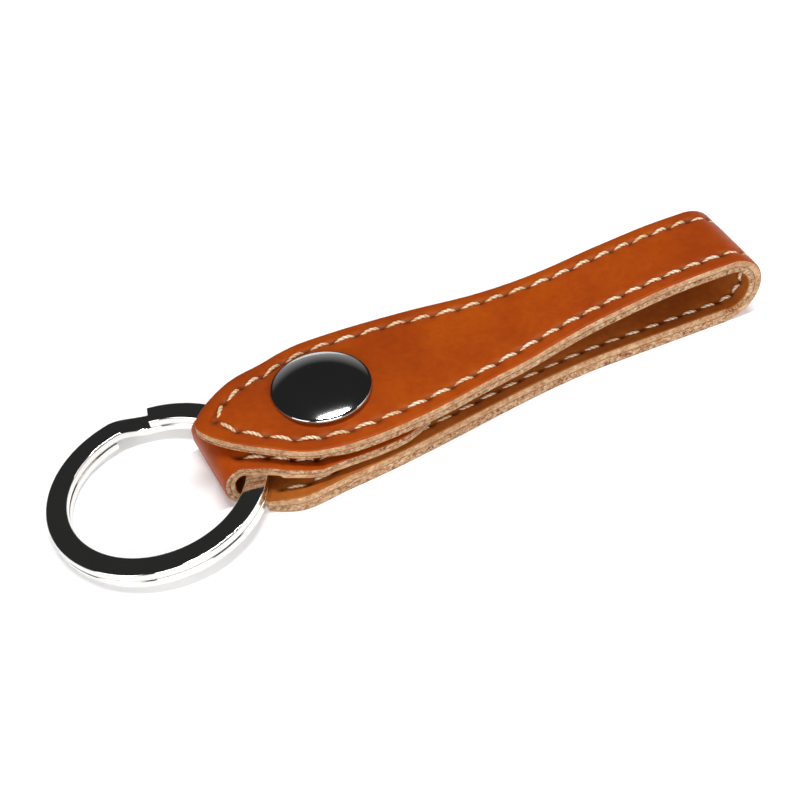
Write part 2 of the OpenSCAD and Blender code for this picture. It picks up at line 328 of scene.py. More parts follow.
def seam_holes_upper():
    """Hole positions in plan, one list a side, from the tip to the loop end."""
    t = np.linspace(0, 1, 300)
    p = bez(t)
    tangent = np.gradient(p, axis=0)
    normal = np.stack([tangent[:, 1], -tangent[:, 0]], 1) / np.linalg.norm(tangent, axis=1)[:, None]
    inner = p + INSET * normal
    inner = inner[inner[:, 1] >= 0]
    tip_hole = TIP[0] + INSET + 0.6
    inner = np.concatenate([[[tip_hole, 0.0]], inner[inner[:, 0] > tip_hole + 0.1]])
    xs = np.arange(BASE[0] + 0.1, LOOP_X - 0.4, 0.1)
    line = np.concatenate([inner, np.stack([xs, tongue_w(xs) - INSET], 1)])
    pts = hand_spaced(line)
    return {1: drifted(pts, 1), -1: drifted(pts, -1)}


def hand_spaced(line):
    """Hole positions along a plan line whose last point is at the loop end."""
    step = np.linalg.norm(np.diff(line, axis=0), axis=1)
    mid = (line[1:, 0] + line[:-1, 0]) / 2
    pitch = mix(PITCH_SNAP, PITCH_LOOP, smooth((mid - 5) / (LOOP_X - 5)))
    count = np.concatenate([[0], np.cumsum(step / pitch)])
    at = np.linspace(0, count[-1], int(round(count[-1])) + 1)
    return np.stack([np.interp(at, count, line[:, 0]), np.interp(at, count, line[:, 1])], 1)


upper_holes = seam_holes_upper()
far_edge, near_edge = drifted(half_edge, 1), drifted(half_edge, -1)
spine = np.stack([spine_x, centre_y(spine_x)], 1)
upper_plan = np.array([spoke_row(n, c, f) for n, c, f in zip(near_edge, spine, far_edge)])
upper_outline = np.concatenate([near_edge[::-1], far_edge[1:]])


def seam_dip(d, hole):
    """How deep the face is pulled in beside the seam and at its holes."""
    return SEAM_DIP * bell(d, INSET, 0.5) + HOLE_DIP * hole


def wall_points(top, bottom, out):
    """Points down a cut edge, between its top and bottom corner."""
    t = (np.arange(1, WALL + 1) / (WALL + 1))[:, None, None]
    rough = RNG.normal(0, WALL_ROUGH, (WALL, len(top), 1))
    return top + (bottom - top) * t + out * (WALL_BULGE * np.sin(np.pi * t) + rough)


def close_ring(top, bottom, near_out, far_out):
    """Rings of a ply: face, far cut edge, back, near cut edge. top and bottom are (rows, cols, 3)."""
    far = wall_points(top[:, -1], bottom[:, -1], far_out)
    near = wall_points(bottom[:, 0], top[:, 0], near_out)
    return np.concatenate([top, far.transpose(1, 0, 2), bottom[:, ::-1], near.transpose(1, 0, 2)], axis=1)


def ply_object(name, rings, mats, attrs, caps):
    """One ply as a closed mesh. Faces on the two skins take the first material, cut edges the second."""
    rows, n = rings.shape[:2]
    back, near_wall = COLS + WALL, 2 * COLS + WALL - 1  # where the back and the near cut edge start
    ring_mats = [0 if j < COLS - 1 or back <= j < near_wall else 1 for j in range(n)]
    faces = tube_faces(rows, n, caps=False)
    face_mats = ring_mats * (rows - 1)
    for end in caps:
        first = 0 if end == "first" else (rows - 1) * n
        for j in range(COLS - 1):
            k = near_wall - j
            faces.append((first + j, first + j + 1, first + k - 1, first + k))
        faces.append(tuple(range(first + COLS - 1, first + back + 1)))
        faces.append((first, *range(first + near_wall, first + n)))
        face_mats += [1] * (COLS + 1)
    full = {}
    for key, value in attrs.items():
        whole = np.zeros((rows, n))
        whole[:, :COLS] = value
        whole[:, back:near_wall + 1] = value[:, ::-1]
        full[key] = whole.ravel()
    return new_object(name, rings.reshape(-1, 3), faces, mats, face_mats, full, LEATHER_SHARP)


def flat_out(edge, centre):
    """Outward directions in plan at an edge, as 3-D vectors."""
    v = edge - centre
    v = v / np.maximum(np.linalg.norm(v, axis=1), 1e-6)[:, None]
    return np.concatenate([v, np.zeros((len(v), 1))], 1)


def with_z(plan, z):
    return np.concatenate([plan, z[..., None]], -1)


def make_upper(mats):
    rows = len(upper_plan)
    flat = upper_plan.reshape(-1, 2)
    d = edge_distance(flat, upper_outline).reshape(rows, COLS)
    hole = near_holes(flat, np.concatenate(list(upper_holes.values())), HOLE_R).reshape(rows, COLS)
    x, y = upper_plan[..., 0], upper_plan[..., 1]
    under = upper_under(x) + crown(x, y)
    near_out, far_out = flat_out(near_edge, spine), flat_out(far_edge, spine)
    top = under + STRAP_T - round_edge(d, FACE_ROUND) - edge_sink(d, UPPER_SINK) - seam_dip(d, hole)
    middle = under + LINING_T
    # The lining's cut edge is slanted: the leather gets thinner towards it, most of all on the nose
    slant = np.exp(-d / 1.5) * (0.62 - 0.44 * rise(x, -5, 5) - 0.18 * rise(x, 6, 10))
    bottom = under + slant + round_edge(d, BACK_ROUND) + seam_dip(d, hole) * BACK_DIP
    gap = round_edge(d, GLUE_ROUND)
    # edge: darkening beside the edges, with painted shade making the far side darker
    attrs = {"edge": edge_stain_and_shade(d, y > centre_y(x)), "hole": groove_and_hole_shade(d, hole)}
    outer = close_ring(with_z(upper_plan, top), with_z(upper_plan, middle + gap), near_out, far_out)
    lining = close_ring(with_z(upper_plan, middle - gap), with_z(upper_plan, bottom), near_out, far_out)
    a = ply_object("upper_outer", outer, mats["outer"], attrs, ["last"])
    b = ply_object("upper_lining", lining, mats["lining"], attrs, ["last"])
    for ply in (a, b):
        punch(ply, SOCKET_HOLE_R)
    return a, b


def punch(obj, radius):
    """Cut a round hole on the snap's axis through a ply, and close the hole's wall."""
    bm = bmesh.new()
    bm.from_mesh(obj.data)
    inside = [f for f in bm.faces if f.calc_center_median().xy.length < radius * MM]
    bmesh.ops.delete(bm, geom=inside, context="FACES")
    near = 1.5 * radius * MM  # the ply's open front end is further away and stays as it is
    rim = [e for e in bm.edges if e.is_boundary and all(v.co.xy.length < near for v in e.verts)]
    for v in {v for e in rim for v in e.verts}:
        v.co.xy = v.co.xy.normalized() * radius * MM
    bmesh.ops.bridge_loops(bm, edges=rim)
    bmesh.ops.recalc_face_normals(bm, faces=bm.faces)
    bm.to_mesh(obj.data)
    bm.free()


# The loop end turns about its own centre of curvature
LOOP_STEPS = 46
LOOP_HOLES = 5
loop_row = upper_plan[-1]
loop_angles = np.concatenate([[0, 0.4, 1.2], np.linspace(3, 177, LOOP_STEPS), [178.8, 179.6, 180]]) - 90
loop_hole_angles = np.linspace(0, 180, LOOP_HOLES + 1) - 90


def loop_point(radius, angle, y):
    a = np.radians(angle)
    return np.stack([LOOP_X + radius * np.cos(a), y + 0 * a, LOOP_CZ + radius * np.sin(a)], -1)


def make_loop(mats):
    y = np.broadcast_to(loop_row[:, 1], (len(loop_angles), COLS))
    a = np.broadcast_to(loop_angles[:, None], y.shape)
    d = LOOP_HALF - np.abs(y)
    sides = (-(LOOP_HALF - INSET), LOOP_HALF - INSET)

    def holes_at(radius):
        """Strength of the stitch holes on the face at that radius, which is laid flat for it."""
        face = np.stack([radius * np.radians(a), y], -1)
        holes = [(radius * math.radians(h), side) for h in loop_hole_angles for side in sides]
        return near_holes(face.reshape(-1, 2), np.array(holes), HOLE_R).reshape(y.shape)

    hole, inner_hole = holes_at(LOOP_CZ), holes_at(LOOP_CZ - STRAP_T)
    gap = round_edge(d, GLUE_ROUND)
    r_out = LOOP_CZ - round_edge(d, FACE_ROUND) - edge_sink(d, UPPER_SINK) - seam_dip(d, hole)
    r_mid = LOOP_CZ - OUTER_T
    r_in = LOOP_CZ - STRAP_T + round_edge(d, BACK_ROUND) + seam_dip(d, inner_hole) * BACK_DIP
    out = np.zeros((len(loop_angles), 3))
    out[:, 1] = 1
    outer = close_ring(loop_point(r_out, a, y), loop_point(r_mid + gap, a, y), -out, out)
    lining = close_ring(loop_point(r_mid - gap, a, y), loop_point(r_in, a, y), -out, out)
    # edge darkening, with painted shade making the far side darker
    stain_and_shade = edge_stain_and_shade(d, y > 0)
    ends = ["first", "last"]
    outer_attrs = {"edge": stain_and_shade, "hole": groove_and_hole_shade(d, hole)}
    lining_attrs = {"edge": stain_and_shade, "hole": groove_and_hole_shade(d, inner_hole)}
    p = ply_object("loop_outer", outer, mats["outer"], outer_attrs, ends)
    q = ply_object("loop_lining", lining, mats["lining"], lining_attrs, ends)
    return p, q


# The lower run's path, in millimetres
FOLD_STEPS = 15  # rows in each of the fold's two arcs
TAB_WIDENS = 13  # length over which the tab gets as wide as the tongue
TAB_KNOTS = (-15.6, -12.2, -9.7, -7.1, -5.5, -2.8, 5.0, 9.0, 13.0)  # x, and the edge's lift there
TAB_LIFTS = (-0.45, -0.5, -0.75, 0.4, 0.9, 0.95, 0.85, 0.3, 0.0)
EDGE_ZONE = 0.35  # lifts start at this share of the half width
CUT_SLANT, SLANT_FROM = 0.5, 0.22  # the cut edge's slant, and the share of the thickness that stays put
FOLD_SKEW, FOLD_DROOP = -0.075, -0.45


def lower_path():
    """The lower run, neck, fold and tab follow one path: the outer ply's outer face in side view.

    Its rows are x, z, inward x and z, outer ply's and whole thickness, half width, centre y, length.
    """
    rows = []

    def run_row(x, half, centre):
        share = thick_share(x)
        outer_t, whole_t = mix(SKIVED_T, OUTER_T, share), mix(FOLD_T, STRAP_T, share)
        rows.append((x, 0, 0, 1, outer_t, whole_t, half, centre))

    def fold_row(angle, centre_z):
        c, s = math.cos(math.radians(angle)), math.sin(math.radians(angle))
        x, z = FOLD_X + FOLD_R * c, centre_z + FOLD_R * s
        rows.append((x, z, -c, -s, SKIVED_T, FOLD_T, NECK_HALF, NECK_Y))

    run = np.arange(LOOP_X - 1.4, SHOULDER_X + 1.2, -ROW_STEP)
    loop_end, shoulder = LOOP_X - END_CLUSTER[::-1], SHOULDER_X + END_CLUSTER
    for x in np.concatenate([[LOOP_X], loop_end, run, shoulder, [SHOULDER_X]]):
        run_row(x, float(lower_w(x)), float(centre_y(x)))
    neck = np.arange(SHOULDER_X - 0.6, FOLD_X, -0.4)
    for x in np.concatenate([SHOULDER_X - np.array([0.02, 0.12, 0.3]), neck]):
        run_row(x, NECK_HALF + 0.5 * (1 - smooth((SHOULDER_X - x) / 1.2)), NECK_Y)
    for angle in np.linspace(270, 180, FOLD_STEPS):
        fold_row(angle, FOLD_R)
    for z in np.linspace(FOLD_R, FOLD_H - FOLD_R, 5)[1:-1]:
        rows.append((FOLD_X - FOLD_R, z, 1, 0, SKIVED_T, FOLD_T, NECK_HALF, NECK_Y))
    for angle in np.linspace(180, 90, FOLD_STEPS):
        fold_row(angle, FOLD_H - FOLD_R)
    tab = np.arange(FOLD_X + 0.4, TAB_END - 1.1, 0.45)
    for x in np.concatenate([tab, TAB_END - END_CLUSTER, [TAB_END]]):
        h = 0.01
        slope = (tab_drop(x + h) - tab_drop(x - h)) / (2 * h)
        norm = math.hypot(1, slope)
        widened = min(1, (x - FOLD_X) / TAB_WIDENS)
        half = mix(NECK_HALF, TONGUE_HALF, math.sin(math.pi / 2 * widened))
        half -= TAB_TAPER * max(0.0, (x - TAB_TAPER_X) / (TAB_END - TAB_TAPER_X)) ** 2
        z = TAB_Z + FOLD_T + tab_drop(x)
        rows.append((x, z, slope / norm, -1 / norm, SKIVED_T, FOLD_T, half, NECK_Y * (1 - widened)))
    rows = np.array(rows)
    step = np.linalg.norm(np.diff(rows[:, :2], axis=0), axis=1)
    return np.concatenate([rows, np.concatenate([[0], np.cumsum(step)])[:, None]], 1)


def tab_drop(x):
    """Height of the tab over where it lies flat: it comes down from the fold, over the ring."""
    return (FOLD_H - FOLD_T - TAB_Z) * (1 - rise(x, -10.8, 6.5))


def tab_edge_lift(x, across):
    """How far the tab's edge stands over its middle: lower beside the ring, higher over the strap."""
    return np.interp(x, TAB_KNOTS, TAB_LIFTS) * rise(across, EDGE_ZONE, 1 - EDGE_ZONE)


def path_at(s, *columns):
    """The path's columns at lengths s."""
    return [np.interp(s, PATH_S, column) for column in columns]


def lower_shift(s, y, depth):
    """How the lower run's mesh moves along, across and up: slanted cut, skewed fold, lifted tab edges."""
    x, z, c, w, whole = path_at(s, PATH_X, PATH_Z, PATH_C, PATH_W, PATH_T2)
    across = (y - c) / w
    on_run = smooth((s_shoulder - s) / 4)
    slant = CUT_SLANT * (depth / whole - SLANT_FROM) * on_run * np.abs(across) ** 6
    on_tab = rise(s, s_fold_top, 1.5)
    in_fold = rise(s, s_shoulder + 1, 4) * (1 - rise(x, -13, 5) * on_tab)
    skew = FOLD_SKEW * (y - c) * in_fold
    at_edge = rise(np.abs(across), EDGE_ZONE, 1 - EDGE_ZONE)
    droop = FOLD_DROOP * at_edge * in_fold * rise(z, 1.5, 4) * (1 - on_tab)
    return skew, -np.sign(across) * slant, tab_edge_lift(x, np.abs(across)) * on_tab + droop


path = lower_path()
PATH_X, PATH_Z, PATH_IX, PATH_IZ, PATH_T1, PATH_T2, PATH_W, PATH_C, PATH_S = path.T


def on_path(s, y, depth):
    """3-D points at lengths s along the path, y across and depth in from the outer face."""
    x, z, ix, iz = path_at(s, PATH_X, PATH_Z, PATH_IX, PATH_IZ)
    n = np.hypot(ix, iz)
    mx, my, mz = lower_shift(s, y, depth)
    return np.stack([x + depth * ix / n + mx, y + my, z + depth * iz / n + mz], -1)


def path_line(side, inset, s0, s1):
    """Points (length, y) at that inset from one edge of the path's leather."""
    s = np.arange(s0, s1, 0.1)
    c, w = path_at(s, PATH_C, PATH_W)
    return np.stack([s, c + side * (w - inset)], 1)


def nearest_length(x, z):
    """Length of the path's row at that place in side view."""
    return PATH_S[np.argmin(np.abs(PATH_X - x) + np.abs(PATH_Z - z) * 10)]


s_shoulder = nearest_length(SHOULDER_X, 0)
s_fold_top = nearest_length(FOLD_X, FOLD_H)
s_end = PATH_S[-1]


def lower_hole_line(side):
    line = path_line(side, INSET, 0.4, s_shoulder - INSET)[::-1]
    flat = np.stack([*path_at(line[:, 0], PATH_X), line[:, 1]], 1)
    holes = hand_spaced(flat)
    return np.stack([LOOP_X - holes[:, 0], holes[:, 1]], 1)


lower_holes = {s: lower_hole_line(s) for s in (-1, 1)}


def tab_hole_line():
    """The tab's seam: along the near edge, across its end, back along the far edge."""
    near, far = (path_line(side, INSET, s_fold_top + 0.6, s_end - INSET) for side in (-1, 1))
    far = far[::-1]
    across = np.array([[s_end - INSET, y] for y in np.arange(near[-1][1], far[0][1], 0.2)])
    return np.concatenate([near, across, far])


tab_holes = resample(tab_hole_line(), TAB_PITCH)


def make_lower(mats):
    """Lower run to tab. The lining is uppermost on the run, so that ply has the smooth light cut edge,
    and the outer ply below it the coarse one, painted darker as shade.
    """
    near = np.stack([PATH_S, PATH_C - PATH_W], 1)
    far = np.stack([PATH_S, PATH_C + PATH_W], 1)
    mid = np.stack([PATH_S, PATH_C], 1)
    plan = np.array([spoke_row(n, c, f) for n, c, f in zip(near, mid, far)])
    flat = plan.reshape(-1, 2)
    d = edge_distance(flat, np.concatenate([near, far[::-1]])).reshape(len(path), COLS)
    holes = np.concatenate([lower_holes[-1], lower_holes[1], tab_holes])
    hole = near_holes(flat, holes, HOLE_R).reshape(d.shape)
    middle, half = (s_shoulder + s_fold_top) / 2, (s_fold_top - s_shoulder) / 2
    neck = np.abs(plan[..., 0] - middle) < half - 0.4  # no seam there
    dip = np.where(neck, 0, seam_dip(d, hole))
    on_floor = (PATH_Z < 0.01)[:, None]
    face = round_edge(d, LOWER_FACE_ROUND) + np.where(on_floor, 0, edge_sink(d, LOWER_SINK)) + dip
    joint = PATH_T1[:, None] + 0 * d
    back = PATH_T2[:, None] - round_edge(d, BACK_ROUND) - dip * BACK_DIP
    gap = round_edge(d, LOWER_GLUE_ROUND)

    def place(depth):
        mx, my, mz = lower_shift(plan[..., 0], plan[..., 1], depth)
        x = PATH_X[:, None] + depth * PATH_IX[:, None] + mx
        z = PATH_Z[:, None] + depth * PATH_IZ[:, None] + mz
        return np.stack([x, plan[..., 1] + my, z], -1)

    out = np.zeros((len(path), 3))
    out[:, 1] = 1
    attrs = {"edge": np.exp(-d / EDGE_DARK_WIDTH) * 0.4, "hole": groove_and_hole_shade(d, hole) * ~neck}
    outer = close_ring(place(face), place(joint - gap), -out, out)
    lining = close_ring(place(joint + gap), place(back), -out, out)
    ends = ["first", "last"]
    # the lower ply takes the coarse cut edge, whose darkness is painted shade
    a = ply_object("lower_outer", outer, [mats["outer"][0], mats["lining"][1]], attrs, ends)
    b = ply_object("lower_lining", lining, [mats["lining"][0], mats["outer"][1]], attrs, ends)
    return a, b


# ---------------------------------------------------------------- stitches

HOLE_SINK = 0.1  # the hole points of a run lie this far under the face
HOLE_DEPTH = 0.42  # where a stitch starts and ends, under the face
ARCH_POWER = 2.6  # how flat the top of a stitch is
PROUD = 0.16
LEAN = 0.16  # across the seam, to either side of it
TWIST_PITCH = 1.8
STITCH_STEPS, STITCH_SIDES = 25, 16


def stitch_rings(p, q, up, proud, lean):
    """A twisted thread from the hole at p to the hole at q. up is the face's outward direction."""
    along = q - p
    length = np.linalg.norm(along)
    t = along / length
    side = np.cross(up, t)
    side /= np.linalg.norm(side)
    rings, strand_shades = [], []
    phase = RNG.uniform(0, 2 * np.pi)
    lift = proud + RNG.uniform(-0.03, 0.03)
    lean = lean + RNG.uniform(-0.05, 0.05)
    a = np.linspace(0, 2 * np.pi, STITCH_SIDES, endpoint=False)
    for u in np.linspace(0, 1, STITCH_STEPS):
        v = 2 * u ** 1.25 - 1  # 0 at the highest point, which is a little past the middle
        arch = 1 - abs(v) ** ARCH_POWER
        height = -HOLE_DEPTH + (HOLE_DEPTH + lift) * arch
        centre = p + along * (0.08 + 0.84 * u) + side * lean * (2 * u - 1) + up * height
        slope = -np.sign(v) * ARCH_POWER * abs(v) ** (ARCH_POWER - 1) * 2 * (HOLE_DEPTH + lift) / length
        tangent = t + up * slope
        tangent /= np.linalg.norm(tangent)
        normal = np.cross(tangent, side)
        twist = phase + 2 * np.pi * u * length / TWIST_PITCH
        strand = np.abs(np.cos((a - twist) * STRANDS / 2))
        r = THREAD_R * (0.6 + 0.4 * arch) * (0.70 + 0.34 * strand)
        rings.append(centre + np.outer(r * np.cos(a), side) + np.outer(r * np.sin(a) * 0.9, normal))
        # painted shade: dark between the strands, and most of all where the stitch dips towards its holes
        strand_shades.append(1 - strand * (0.35 + 0.65 * arch ** 1.5))
    return rings, np.concatenate(strand_shades)


def seam_object(name, runs, mat, proud):
    """All stitches of a seam as one piece. Each run is a list of (hole point, outward direction)."""
    verts, faces, tint, strand_shade = [], [], [], []
    for run, side in runs:
        for (p, up_p), (q, up_q) in zip(run[:-1], run[1:]):
            up = up_p + up_q
            up /= np.linalg.norm(up)
            # low holds the painted shade between the strands for each point
            rings, low = stitch_rings(p, q, up, proud, LEAN * side)
            strand_shade.extend(low)
            base = len(verts)
            verts.extend(np.concatenate(rings))
            faces.extend(tuple(base + k for k in f) for f in tube_faces(STITCH_STEPS, STITCH_SIDES))
            tint.extend([RNG.uniform(0, 1)] * (STITCH_STEPS * STITCH_SIDES))
    return new_object(name, verts, faces, [mat], attrs={"tint": tint, "strand_shade": strand_shade})


def upper_run(side, top):
    """Hole points on the tongue's face, with the direction out of the face."""
    plan = upper_holes[side]
    x, y = plan[:, 0], plan[:, 1]
    h = 0.2

    def height(x, y):
        return upper_under(x) + crown(x, y) + (STRAP_T if top else 0)

    z = height(x, y)
    dx = (height(x + h, y) - height(x - h, y)) / (2 * h)
    dy = (height(x, y + h) - height(x, y - h)) / (2 * h)
    n = np.stack([-dx, -dy, np.ones(len(x))], 1)
    n /= np.linalg.norm(n, axis=1)[:, None]
    n *= 1 if top else -1
    return [(np.array([x[i], y[i], z[i]]) - n[i] * HOLE_SINK, n[i]) for i in range(len(x))]


def loop_run(side, radius, outwards):
    out = []
    for angle in loop_hole_angles:
        a = math.radians(angle)
        n = np.array([math.cos(a), 0, math.sin(a)])
        p = np.array([LOOP_X, side * (LOOP_HALF - INSET), LOOP_CZ]) + radius * n
        n = n * (1 if outwards else -1)
        out.append((p - n * HOLE_SINK, n))
    return out


def path_run(holes, from_back):
    out = []
    for s, y in holes:
        whole = np.interp(s, PATH_S, PATH_T2)
        p = on_path(np.array([s]), np.array([y]), whole if from_back else 0)[0]
        q = on_path(np.array([s]), np.array([y]), whole + 1 if from_back else -1)[0]
        n = (q - p) / np.linalg.norm(q - p)
        out.append((p - n * HOLE_SINK, n))
    return out


def make_seams(mat):
    """One piece for each seam and body. A row ends with how far its stitches stand out of the face."""
    sides = (-1, 1)
    table = [
        ("upper_outer_stitches", [(upper_run(s, True), s) for s in sides], PROUD),
        ("upper_lining_stitches", [(upper_run(s, False), s) for s in sides], PROUD),
        ("loop_outer_stitches", [(loop_run(s, LOOP_CZ, True), s) for s in sides], PROUD),
        ("loop_lining_stitches", [(loop_run(s, LOOP_CZ - STRAP_T, False), s) for s in sides], 0.04),
        ("lower_outer_stitches", [(path_run(lower_holes[s], False), s) for s in sides], -0.2),
        ("lower_lining_stitches", [(path_run(lower_holes[s], True), s) for s in sides], 0.02),
        ("tab_stitches", [(path_run(tab_holes, False), 1)], PROUD),
    ]
    return {name: seam_object(name, runs, mat, proud) for name, runs, proud in table}


# ---------------------------------------------------------------- metal

CORNER_STEPS = 4
METAL_SHARP = 40  # degrees


def revolve(name, profile, mat, turns=(0, 360), steps=128):
    """A turned metal piece from a closed profile of (radius, z), about the snap's axis."""
    pts = np.array(profile, float)
    whole = turns[1] - turns[0] >= 360
    angles = np.radians(np.linspace(turns[0], turns[1], steps, endpoint=not whole))
    rings = [np.stack([pts[:, 0] * math.cos(a), pts[:, 0] * math.sin(a), pts[:, 1]], 1) for a in angles]
    faces = tube_faces(len(rings), len(pts), closed_rows=whole)
    return new_object(name, np.concatenate(rings), faces, [mat], sharp=METAL_SHARP)


def rounded(profile, radius):
    """The closed profile with each corner rounded, except those on the axis."""
    pts = [np.array(p, float) for p in profile]
    out = []
    for i, p in enumerate(pts):
        a, b = pts[i - 1], pts[(i + 1) % len(pts)]
        if p[0] < 1e-6:
            out.append(p)
            continue
        r = min(radius, 0.42 * np.linalg.norm(a - p), 0.42 * np.linalg.norm(b - p))
        pa = p + (a - p) / np.linalg.norm(a - p) * r
        pb = p + (b - p) / np.linalg.norm(b - p) * r
        for t in np.linspace(0, 1, CORNER_STEPS):
            out.append(pa * (1 - t) ** 2 + 2 * p * t * (1 - t) + pb * t * t)
    return out


def make_snap(mats):
    """The snap's five turned pieces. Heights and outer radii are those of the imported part."""
    # Cap: dome, rolled rim, hollow underside and the rivet that holds the socket
    cap_r, _, top = box_mm("snap_cap")[1]
    seat = upper_under(0) + STRAP_T
    edge_z = seat + 1.22
    dome_r = cap_r - 0.3
    dome = [(dome_r * t, edge_z + (top - edge_z) * (1 - t ** 2.7)) for t in np.linspace(0, 1, 40)]
    rim = [(cap_r - back, edge_z - drop) for back, drop in (
        (0.13, 0.02), (0.03, 0.14), (0, 0.32), (0.05, 0.5), (0.2, 0.7))]
    rim += [(cap_r - back, seat + height) for back, height in (
        (0.6, 0.14), (0.95, 0.02), (1.4, 0), (1.4, 0.4))]
    rivet = [(r, seat + height) for r, height in (
        (2.1, 0.5), (2.1, -0.35), (2.85, -0.38), (2.85, -0.5), (1.5, -0.52), (1.5, 1.2), (0, 1.3))]
    cap = revolve("snap_cap_shell", dome + rim + rivet, mats["cap"])

    # Socket: a cup with a flange under the tongue, and the split spring inside it
    (_, _, low), (flange_r, _, high) = box_mm("snap_socket")
    barrel_r, bore, flange_top, plate_t = 4.4, 2.15, low + 0.45, 0.4
    socket = revolve("snap_socket_shell", rounded([
        (bore, high), (barrel_r, high), (barrel_r, flange_top), (flange_r, flange_top), (flange_r, low),
        (3.5, low), (3.5, low + 0.15), (4.0, low + 0.15), (4.0, high - plate_t), (bore, high - plate_t),
    ], 0.12), mats["metal"])
    spring_r, spring_z, wire_r = 3.48, low + 0.5, 0.3
    wire = [(spring_r + wire_r * math.cos(a), spring_z + wire_r * math.sin(a))
            for a in np.linspace(0, 2 * math.pi, 14)[:-1]]
    spring = revolve("socket_spring_wire", wire, mats["spring"], turns=(25, 335), steps=90)

    # Stud: a flange on the tab, and a knob with a neck that the spring grips
    (_, _, low), (stud_r, _, stud_top) = box_mm("snap_stud")
    knob, waist, bore, flange_top = 3.3, 2.75, 1.9, low + 0.45
    stud = revolve("snap_stud_shell", rounded([
        (bore, low), (stud_r, low), (stud_r, flange_top), (waist, flange_top), (waist, low + 1.5),
        (knob, low + 2.1), (knob, stud_top - 0.4), (knob - 0.4, stud_top), (bore, stud_top),
    ], 0.16), mats["metal"])

    # Post: its head is under the strap, its end is rolled over the stud
    head_r = box_mm("snap_post")[1][0]
    head_t, shank_r, roll_r, roll_top, hollow_r, hollow_z = 0.5, 1.85, 2.3, stud_top + 0.25, 1.3, 1
    post = revolve("snap_post_shell", [(0, 0)] + rounded([
        (head_r, 0), (head_r, head_t), (shank_r, head_t), (shank_r, stud_top),
        (roll_r, stud_top), (roll_r, roll_top), (hollow_r, roll_top), (hollow_r, hollow_z),
    ], 0.12) + [(0, hollow_z)], mats["metal"])
    return cap, socket, spring, stud, post


def make_ring(mat):
    """Two turns of flat wire in one sweep, with the cross-over between them."""
    joint = next(j for j in frame["joints"] if j["name"] == "ring_turn")
    wire_w, wire_t, bevel = 3.14, 1.36, 0.3
    r_mid = 16.0 - wire_w / 2
    turn_rise = wire_t + 0.04
    cross_start, cross_span, end_gap = 80.0, 22.0, 1  # degrees
    corner = [(math.cos(a), math.sin(a)) for a in np.linspace(0, math.pi / 2, 5)]
    section = []
    for sx, sz, order in ((1, 1, 1), (-1, 1, -1), (-1, -1, 1), (1, -1, -1)):
        for cx, cz in corner[::order]:
            x, z = wire_w / 2 - bevel + bevel * cx, wire_t / 2 - bevel + bevel * cz
            section.append((sx * x, sz * z))
    section = np.array(section)
    second = cross_start + 360
    angles = np.concatenate([
        np.linspace(cross_start + cross_span + end_gap, second, 170),
        np.linspace(second, second + cross_span, 34)[1:],
        np.linspace(second + cross_span, second + 360 - end_gap, 170)[1:]])
    rings = []
    for angle in angles:
        z = turn_rise * rise(angle, second, cross_span) + wire_t / 2
        a = math.radians(angle)
        outward = np.array([math.cos(a), math.sin(a), 0])
        rings.append(outward * (r_mid + section[:, :1]) + np.array([0, 0, 1]) * (z + section[:, 1:]))
    faces = tube_faces(len(rings), len(section))
    verts = np.concatenate(rings)
    turn = np.array(Vector((0, 0, 1)).rotation_difference(Vector(joint["axis"]).normalized()).to_matrix())
    origin = np.array(joint["pos_m"]) / MM
    return new_object("split_ring_wire", verts @ turn.T + origin, faces, [mat], sharp=50)


# ---------------------------------------------------------------- materials

LEATHER_ROUGH = (0.44, 0.56)
# painted shade: the near-black colour painted into the stitch holes
HOLE_SHADE_COLOUR = (0.045, 0.014, 0.004)
FIBRE_STOPS = [(0.46, (0.46, 0.23, 0.11)), (0.52, (0.68, 0.42, 0.23)), (0.60, (0.95, 0.74, 0.50))]
THREAD_TINTS = [(0, (0.84, 0.62, 0.36)), (0.5, (0.93, 0.77, 0.53)), (1, (0.97, 0.88, 0.70))]


def material(name):
    mat = bpy.data.materials.new(name)
    mat.use_nodes = True
    nodes, links = mat.node_tree.nodes, mat.node_tree.links
    shader = nodes["Principled BSDF"]
    coords = nodes.new("ShaderNodeTexCoord")

    def node(kind, **values):
        n = nodes.new(kind)
        for key, value in values.items():
            if key in n.inputs:
                n.inputs[key].default_value = value
            else:
                setattr(n, key, value)
        return n

    return mat, node, links.new, shader, coords


def stretched(node, link, coords, scale):
    m = node("ShaderNodeMapping")
    m.inputs["Scale"].default_value = scale
    link(coords.outputs["Object"], m.inputs["Vector"])
    return m.outputs["Vector"]


def noise(node, link, vector, scale, detail, rough=0.55, distortion=0.0):
    n = node("ShaderNodeTexNoise", Scale=scale, Detail=detail, Roughness=rough, Distortion=distortion)
    link(vector, n.inputs["Vector"])
    return n.outputs["Fac"]


def ramp(node, link, fac, stops):
    r = node("ShaderNodeValToRGB")
    while len(r.color_ramp.elements) < len(stops):
        r.color_ramp.elements.new(0.5)
    for e, (pos, colour) in zip(r.color_ramp.elements, stops):
        e.position = pos
        e.color = (*colour, 1) if len(colour) == 3 else colour
    link(fac, r.inputs["Fac"])
    return r.outputs["Color"]


def blend_colour(node, link, fac, a, b, mode="MIX"):
    m = node("ShaderNodeMix", data_type="RGBA", blend_type=mode)
    sockets = [s for s in m.inputs if s.enabled]
    for socket, value in zip(sockets, (fac, a, b)):
        if isinstance(value, bpy.types.NodeSocket):
            link(value, socket)
        else:
            socket.default_value = value if not isinstance(value, tuple) else (*value, 1)
    return next(s for s in m.outputs if s.enabled)


def attribute(node, name):
    a = node("ShaderNodeAttribute")
    a.attribute_name = name
    return a.outputs["Fac"]


def math_node(node, link, op, a, b):
    m = node("ShaderNodeMath", operation=op)
    for socket, value in zip(m.inputs, (a, b)):
        if isinstance(value, bpy.types.NodeSocket):
            link(value, socket)
        else:
            socket.default_value = value
    return m.outputs[0]


